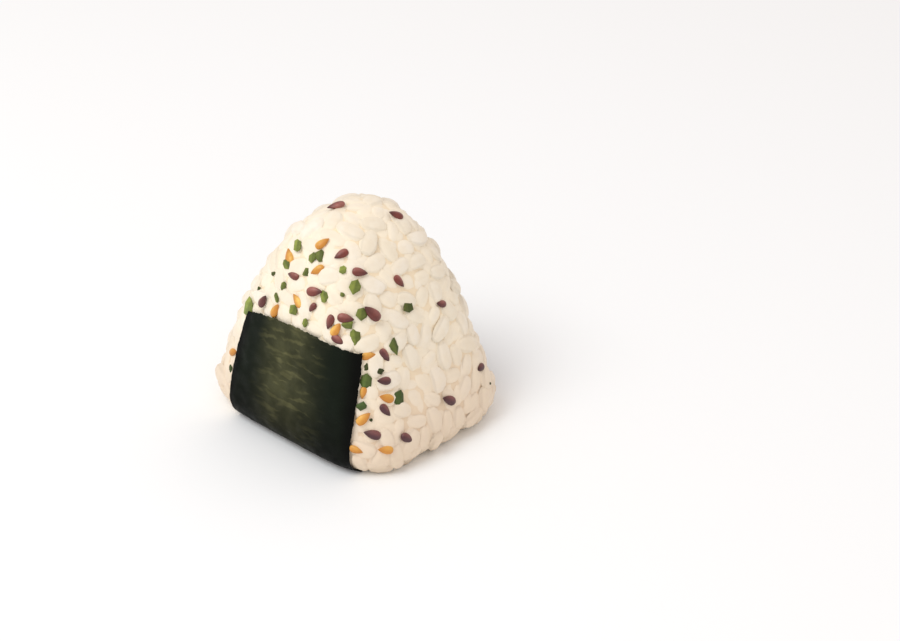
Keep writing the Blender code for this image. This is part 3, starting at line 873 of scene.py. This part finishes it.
def new_group(name, inputs, output):
    """An empty shader group with float inputs, one vector input for the place, and one float output."""
    group = bpy.data.node_groups.new(name, "ShaderNodeTree")
    group.interface.new_socket("Place", in_out="INPUT", socket_type="NodeSocketVector")
    for label in inputs:
        group.interface.new_socket(label, in_out="INPUT", socket_type="NodeSocketFloat")
    group.interface.new_socket(output, in_out="OUTPUT", socket_type="NodeSocketFloat")
    return group, group.nodes.new("NodeGroupInput").outputs, group.nodes.new("NodeGroupOutput").inputs


def mottle_group():
    """Soft patches: noise of a given scale, eased between a low and a high value."""
    group, given, out = new_group("Mottle", ("Scale", "Low", "High"), "Value")
    patches = noise(group, given["Place"], given["Scale"], 3.0)
    patch = eased(group, patches, 0.3, 0.7, given["Low"], given["High"])
    group.links.new(patch, out["Value"])
    return group


def skin_group():
    """Fine relief: a coarse and a fine noise added up, as a height from 0 to 1."""
    group, given, out = new_group("Fine skin", ("Scale", "Fine share"), "Height")
    coarse = noise(group, given["Place"], given["Scale"], 2.0)
    fine = noise(group, given["Place"], math_node(group, "MULTIPLY", given["Scale"], 5.0), 1.0)
    blend = add(group, "ShaderNodeMix", {0: given["Fine share"], 2: coarse, 3: fine})
    group.links.new(blend.outputs[0], out["Height"])
    return group


def place_group(tree, group, inputs):
    """What a shader group puts out for these inputs."""
    return add(tree, "ShaderNodeGroup", inputs, node_tree=group).outputs[0]


def new_finish(name, fixed):
    """A material whose shader has some fixed values. Gives it with its nodes, shader and place."""
    material = bpy.data.materials.new(name)
    material.use_nodes = True
    tree = material.node_tree
    shader = tree.nodes["Principled BSDF"]
    for label, value in fixed.items():
        shader.inputs[label].default_value = value
    place = tree.nodes.new("ShaderNodeTexCoord").outputs["Object"]
    return material, tree, shader, place


def relief(tree, shader, height, distance, strength=1.0):
    """Feeds a height to the shader's normal through a bump of a real depth."""
    bump = add(tree, "ShaderNodeBump", {"Height": height, "Distance": distance, "Strength": strength})
    tree.links.new(bump.outputs["Normal"], shader.inputs["Normal"])


def rice_finish(mottle, skin):
    """Cooked rice: cream, paler on some grains, soft inside, moist, with painted light in the gaps
    between grains, painted tan shade in the deepest places, and painted shade towards the base.
    """
    fixed = {"Coat Weight": 0.08, "Coat Roughness": 0.3, "Specular IOR Level": 0.3}
    material, tree, shader, place = new_finish("Cooked rice", fixed)
    grain = mix(tree, value_of(tree, "tone"), colour(242, 233, 212), colour(248, 241, 226))
    height = add(tree, "ShaderNodeSeparateXYZ", {0: place}).outputs["Z"]
    # Painted shade: over the lowest 36 mm, the grains, the gaps and the deepest places all take darker,
    # warmer colours towards the base.
    above = eased(tree, height, 0.0, 36 * MM)
    grain = mix(tree, above, colour(231, 211, 187), grain)
    cloudy = place_group(tree, mottle, {"Place": place, "Scale": 420.0, "Low": 0.0, "High": 0.35})
    grain = mix(tree, cloudy, grain, colour(237, 222, 194))
    # Painted light in the gaps: low places between the grains, in soft patches, take a lighter, warmer
    # colour than the grains, standing in for light scattered into the creases.
    rise = value_of(tree, "rise")
    low = eased(tree, rise, -0.8, 0.3, 1.0, 0.0)
    here = place_group(tree, mottle, {"Place": place, "Scale": 130.0, "Low": 0.4, "High": 1.0})
    painted_gap_light = mix(tree, above, colour(240, 221, 197), colour(253, 242, 218))
    shown = mix(tree, math_node(tree, "MULTIPLY", low, here), grain, painted_gap_light)
    # Painted shade: the deepest places, down at the core, take a darker tan.
    painted_deep_shade = mix(tree, above, colour(228, 204, 176), colour(246, 228, 196))
    shown = mix(tree, eased(tree, rise, -1.0, -0.8, 1.0, 0.0), shown, painted_deep_shade)
    tree.links.new(shown, shader.inputs["Base Color"])
    moist = place_group(tree, mottle, {"Place": place, "Scale": 260.0, "Low": 0.38, "High": 0.56})
    tree.links.new(moist, shader.inputs["Roughness"])
    fine = place_group(tree, skin, {"Place": place, "Scale": 700.0, "Fine share": 0.25})
    relief(tree, shader, fine, 0.12 * MM, 0.5)
    return material


def nori_finish(mottle, skin):
    """Pressed dried seaweed: green-black, with a painted sheen as a paler olive band down its middle,
    pale olive streaks shown only in that band, painted shade darkening it towards its edges and low
    down, and a dry fibrous skin."""
    fixed = {"Specular IOR Level": 0.06}
    material, tree, shader, place = new_finish("Nori", fixed)
    across, along = value_of(tree, "across"), value_of(tree, "along")
    in_millimetres = math_node(tree, "MULTIPLY", across, STREAKS_SPAN)
    sheet = add(tree, "ShaderNodeCombineXYZ", {"X": in_millimetres, "Y": along}).outputs[0]
    stretched = add(tree, "ShaderNodeMapping", {"Vector": sheet, "Scale": (0.16, 0.52, 1.0)}).outputs[0]
    streak = eased(tree, noise(tree, stretched, 1.0, 1.0, 0.7), 0.5, 0.7)
    # Painted sheen: a paler olive band down the middle of the strip; the nori's own pale streaks show
    # only inside it.
    into = eased(tree, across, 0.14, 0.42)
    out_of = eased(tree, across, 0.44, 0.86, 1.0, 0.0)
    band = math_node(tree, "MULTIPLY", into, out_of)
    base = mix(tree, band, colour(20, 27, 19), colour(76, 77, 52))
    pale = math_node(tree, "MULTIPLY", streak, band)
    base = mix(tree, pale, base, colour(102, 101, 68))
    cloudy = place_group(tree, mottle, {"Place": place, "Scale": 150.0, "Low": 0.0, "High": 0.5})
    base = mix(tree, cloudy, base, colour(22, 27, 20))
    # Painted shade: the colour darkens to near black towards the strip's left and right edges.
    left_painted_shade = eased(tree, across, 0.0, 0.11, 1.0, 0.0)
    right_painted_shade = eased(tree, across, 0.88, 0.99)
    edge = math_node(tree, "MAXIMUM", left_painted_shade, right_painted_shade)
    height = add(tree, "ShaderNodeSeparateXYZ", {0: place}).outputs["Z"]
    # Painted shade: the strip also darkens to near black over its lowest 24 mm.
    painted_shade_low_down = eased(tree, height, 0.0, 24 * MM, 0.85, 0.0)
    base = mix(tree, math_node(tree, "MAXIMUM", edge, painted_shade_low_down), base, colour(8, 9, 7))
    tree.links.new(base, shader.inputs["Base Color"])
    rough = place_group(tree, mottle, {"Place": place, "Scale": 300.0, "Low": 0.45, "High": 0.7})
    tree.links.new(rough, shader.inputs["Roughness"])
    fibres = place_group(tree, skin, {"Place": stretched, "Scale": 3.2, "Fine share": 0.4})
    relief(tree, shader, fibres, 0.15 * MM, 0.6)
    return material


def seed_finish(name, mottle, skin, *colours):
    """A seed with a satin skin: a painted highlight along its upper side, weaker low down, deeper at
    the point, and another colour low down on the rice. The four colours come in the order painted
    highlight, body, deep, low down."""
    light, body, deep, low_down = (colour(*each) for each in colours)
    fixed = {"Coat Weight": 0.15, "Coat Roughness": 0.3, "Specular IOR Level": 0.4}
    material, tree, shader, place = new_finish(name, fixed)
    height = add(tree, "ShaderNodeSeparateXYZ", {0: place}).outputs["Z"]
    skin_colour = mix(tree, eased(tree, height, 25 * MM, 50 * MM), low_down, body)
    # Painted highlight: the side of each seed that lies uppermost takes the light colour, less of it
    # low down on the rice.
    to_side = eased(tree, value_of(tree, "side"), -0.4, 0.8, 0.0, 0.9)
    strength = eased(tree, height, 15 * MM, 45 * MM, 0.5, 1.0)
    skin_colour = mix(tree, math_node(tree, "MULTIPLY", to_side, strength), skin_colour, light)
    to_point = eased(tree, value_of(tree, "point"), 0.45, 1.0, 0.0, 0.8)
    skin_colour = mix(tree, to_point, skin_colour, deep)
    lot = eased(tree, value_of(tree, "tone"), 0.0, 1.0, 0.0, 0.4)
    skin_colour = mix(tree, lot, skin_colour, deep)
    patches = place_group(tree, mottle, {"Place": place, "Scale": 900.0, "Low": 0.0, "High": 0.3})
    skin_colour = mix(tree, patches, skin_colour, deep)
    tree.links.new(skin_colour, shader.inputs["Base Color"])
    rough = place_group(tree, mottle, {"Place": place, "Scale": 1200.0, "Low": 0.36, "High": 0.52})
    tree.links.new(rough, shader.inputs["Roughness"])
    fine = place_group(tree, skin, {"Place": place, "Scale": 1500.0, "Fine share": 0.3})
    relief(tree, shader, fine, 0.08 * MM, 0.6)
    return material


def flake_finish(mottle, skin):
    """Dried green leaf: from deep green to pale olive from flake to flake, cooler low down, and with
    painted shade on the half past the fold."""
    material, tree, shader, place = new_finish("Green flake", {"Specular IOR Level": 0.3})
    height = add(tree, "ShaderNodeSeparateXYZ", {0: place}).outputs["Z"]
    pale = mix(tree, eased(tree, height, 20 * MM, 40 * MM), colour(108, 154, 78), colour(170, 184, 86))
    leaf = mix(tree, value_of(tree, "pale"), colour(56, 60, 26), pale)
    veins = place_group(tree, mottle, {"Place": place, "Scale": 800.0, "Low": 0.0, "High": 0.35})
    leaf = mix(tree, veins, leaf, colour(60, 78, 36))
    # Painted shade: one half of each flake, past its fold, takes a darker green.
    painted_shade_past_fold = eased(tree, value_of(tree, "side"), -0.1, 0.12, 0.45, 0.0)
    leaf = mix(tree, painted_shade_past_fold, leaf, colour(54, 66, 28))
    tree.links.new(leaf, shader.inputs["Base Color"])
    rough = place_group(tree, mottle, {"Place": place, "Scale": 700.0, "Low": 0.5, "High": 0.7})
    tree.links.new(rough, shader.inputs["Roughness"])
    grain = place_group(tree, skin, {"Place": place, "Scale": 1400.0, "Fine share": 0.4})
    relief(tree, shader, grain, 0.1 * MM, 0.7)
    return material


def make_floor():
    """A wide pale floor."""
    mesh = bpy.data.meshes.new("floor")
    corners = [(FLOOR_HALF * x, FLOOR_HALF * y, 0) for x, y in ((-1, -1), (1, -1), (1, 1), (-1, 1))]
    mesh.from_pydata(corners, [], [(0, 1, 2, 3)])
    material = bpy.data.materials.new("Floor")
    material.use_nodes = True
    shader = material.node_tree.nodes["Principled BSDF"]
    shader.inputs["Base Color"].default_value = FLOOR_COLOUR
    shader.inputs["Roughness"].default_value = 0.9
    shader.inputs["Specular IOR Level"].default_value = 0.0
    mesh.materials.append(material)
    floor = bpy.data.objects.new("floor", mesh)
    bpy.context.scene.collection.objects.link(floor)


def make_key_light():
    """A large square soft light, high up in front, that faces the middle of the rice."""
    lamp = bpy.data.lights.new("key", "AREA")
    lamp.size = KEY_SIZE
    lamp.energy = KEY_POWER
    lamp.color = KEY_TINT
    item = bpy.data.objects.new("key", lamp)
    item.location = KEY_PLACE
    aim = Vector(KEY_AIM) - Vector(KEY_PLACE)
    item.rotation_euler = aim.to_track_quat("-Z", "Y").to_euler()
    bpy.context.scene.collection.objects.link(item)


def make_camera():
    """The photo's camera."""
    camera = bpy.data.cameras.new("camera")
    camera.lens = CAMERA_LENS
    camera.sensor_width = SENSOR_WIDTH
    camera.clip_start = 0.01
    item = bpy.data.objects.new("camera", camera)
    right, up, forward = camera_axes()
    turned = Matrix((right, up, -forward)).transposed().to_4x4()
    item.matrix_world = Matrix.Translation(camera_place()) @ turned
    bpy.context.scene.collection.objects.link(item)
    bpy.context.scene.camera = item


def make_stage():
    """Floor, camera, one soft key light and a pale warm surround."""
    make_floor()
    make_camera()
    make_key_light()
    scene = bpy.context.scene
    scene.view_settings.view_transform = "Standard"
    world = bpy.data.worlds.new("surround")
    world.use_nodes = True
    background = world.node_tree.nodes["Background"]
    background.inputs["Color"].default_value = SURROUND_COLOUR
    background.inputs["Strength"].default_value = SURROUND_STRENGTH
    scene.world = world


def rice_tree(*pieces):
    """What a small thing can lie on: the faces of the rice as they are now."""
    points, faces = [], []
    for piece in pieces:
        start = len(points)
        points += [vertex.co.copy() for vertex in piece.data.vertices]
        faces += [[start + corner for corner in face.vertices] for face in piece.data.polygons]
    return BVHTree.FromPolygons(points, faces)


def main():
    make_stage()
    mottle, skin = mottle_group(), skin_group()
    rice = rice_finish(mottle, skin)
    grains, middles = make_grains(rice)
    core = make_core(rice)
    nori = make_nori(nori_finish(mottle, skin), middles)
    tree = rice_tree(grains, core)
    rng = np.random.default_rng(SPRINKLE_SEED)
    directions, spin, size, kind = sprinkle_out_of_sight()
    rest = [(directions[kind == k], spin[kind == k], size[kind == k]) for k in range(3)]
    dark = seed_finish("Dark seed", mottle, skin, *DARK_SEED_COLOURS)
    gold = seed_finish("Golden seed", mottle, skin, *GOLDEN_SEED_COLOURS)
    dark_seeds = make_seeds("dark_seeds", dark, tree, DARK_SEEDS_SEEN, rest[0], rng)
    golden_seeds = make_seeds("golden_seeds", gold, tree, GOLDEN_SEEDS_SEEN, rest[1], rng)
    flakes = make_flakes(flake_finish(mottle, skin), tree, rest[2], rng)
    for piece, slot in (
        (core, "rice"), (grains, "rice"), (dark_seeds, "dark_seed"),
        (golden_seeds, "golden_seed"), (flakes, "green_flake"),
    ):
        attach(piece, "root")
        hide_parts("rice")
    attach(nori, "root")
    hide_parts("nori")


main()
